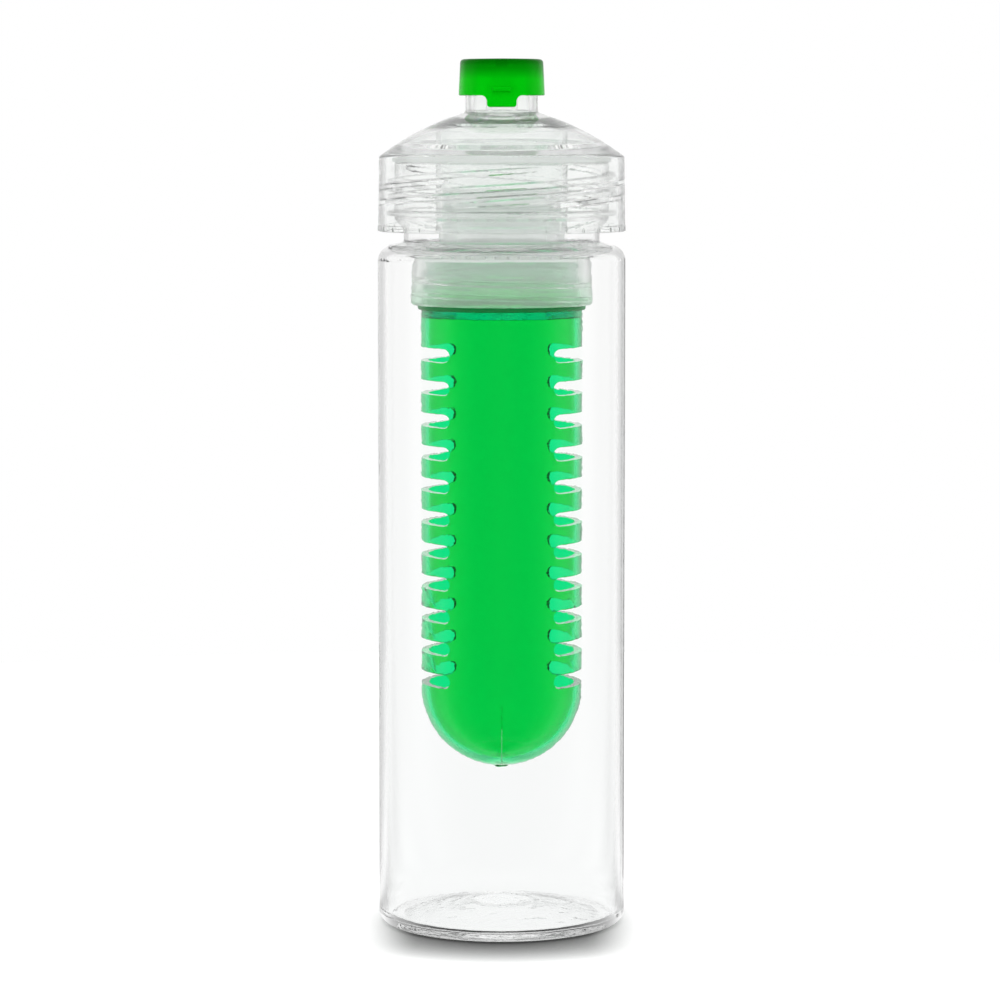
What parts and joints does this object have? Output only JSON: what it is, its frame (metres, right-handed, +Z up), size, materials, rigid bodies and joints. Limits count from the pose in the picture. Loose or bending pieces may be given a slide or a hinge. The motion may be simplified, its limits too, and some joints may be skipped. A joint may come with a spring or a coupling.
{
  "type": "fruit infuser water bottle",
  "caption": "Clear straight-sided water bottle with a domed screw lid, a flip cap over the spout and a slotted green fruit infuser basket hanging from the lid inside it.",
  "frame": {"origin": "middle of the ring that the bottle stands on, on the axis of the bottle", "axes": "+Z up along the bottle's axis, -Y towards the front with the cap's tab, +X to the right seen from the front"},
  "size_m": [0.073, 0.073, 0.2557],
  "materials": {
    "clear_body": "clear moulded plastic, polished",
    "clear_lid": "clear moulded plastic, slightly hazy, polished",
    "clear_silicone": "translucent silicone, satin",
    "green_cap": "translucent green plastic, glossy",
    "pin_steel": "plain drawn wire",
    "white_silicone": "opaque white silicone, satin",
    "frosted_plastic": "frosted natural white plastic",
    "green_basket": "translucent bright green plastic, glossy",
    "green_silicone": "dark green silicone, satin"
  },
  "bodies": {
    "bottle": {"bottle_body": "clear_body"},
    "seal_ring": {"lid_seal": "clear_silicone"},
    "lid": {"screw_lid": "clear_lid", "hinge_pin": "pin_steel"},
    "cap": {"flip_cap": "green_cap", "spout_plug": "white_silicone"},
    "infuser": {"infuser_cap": "frosted_plastic", "boss_o_ring": "clear_silicone"},
    "gasket_ring": {"basket_gasket": "green_silicone"},
    "basket": {"infuser_basket": "green_basket"}
  },
  "joints": [
    {"name": "lid_lift", "type": "slide", "parent": "bottle", "child": "seal_ring", "axis": [0, 0, 1], "range_m": [0, 0.01321]},
    {"name": "lid_turn", "type": "hinge", "parent": "seal_ring", "child": "lid", "pos_m": [0, 0, 0.2271], "axis": [0, 0, 1], "range_deg": [0, 360]},
    {"name": "cap_flip", "type": "hinge", "parent": "lid", "child": "cap", "pos_m": [0, 0.014, 0.247], "axis": [-1, 0, 0], "range_deg": [0, 150]},
    {"name": "infuser_pull", "type": "slide", "parent": "lid", "child": "infuser", "axis": [0, 0, 1], "range_m": [-0.0125, 0]},
    {"name": "basket_drop", "type": "slide", "parent": "infuser", "child": "gasket_ring", "axis": [0, 0, 1], "range_m": [-0.01201, 0]},
    {"name": "basket_turn", "type": "hinge", "parent": "gasket_ring", "child": "basket", "pos_m": [0, 0, 0.19], "axis": [0, 0, 1], "range_deg": [0, 1080]}
  ],
  "couplings": [
    {"joint": "lid_lift", "follows": "lid_turn", "m_per_rad": 0.0021008},
    {"joint": "basket_drop", "follows": "basket_turn", "m_per_rad": -0.00063662}
  ]
}
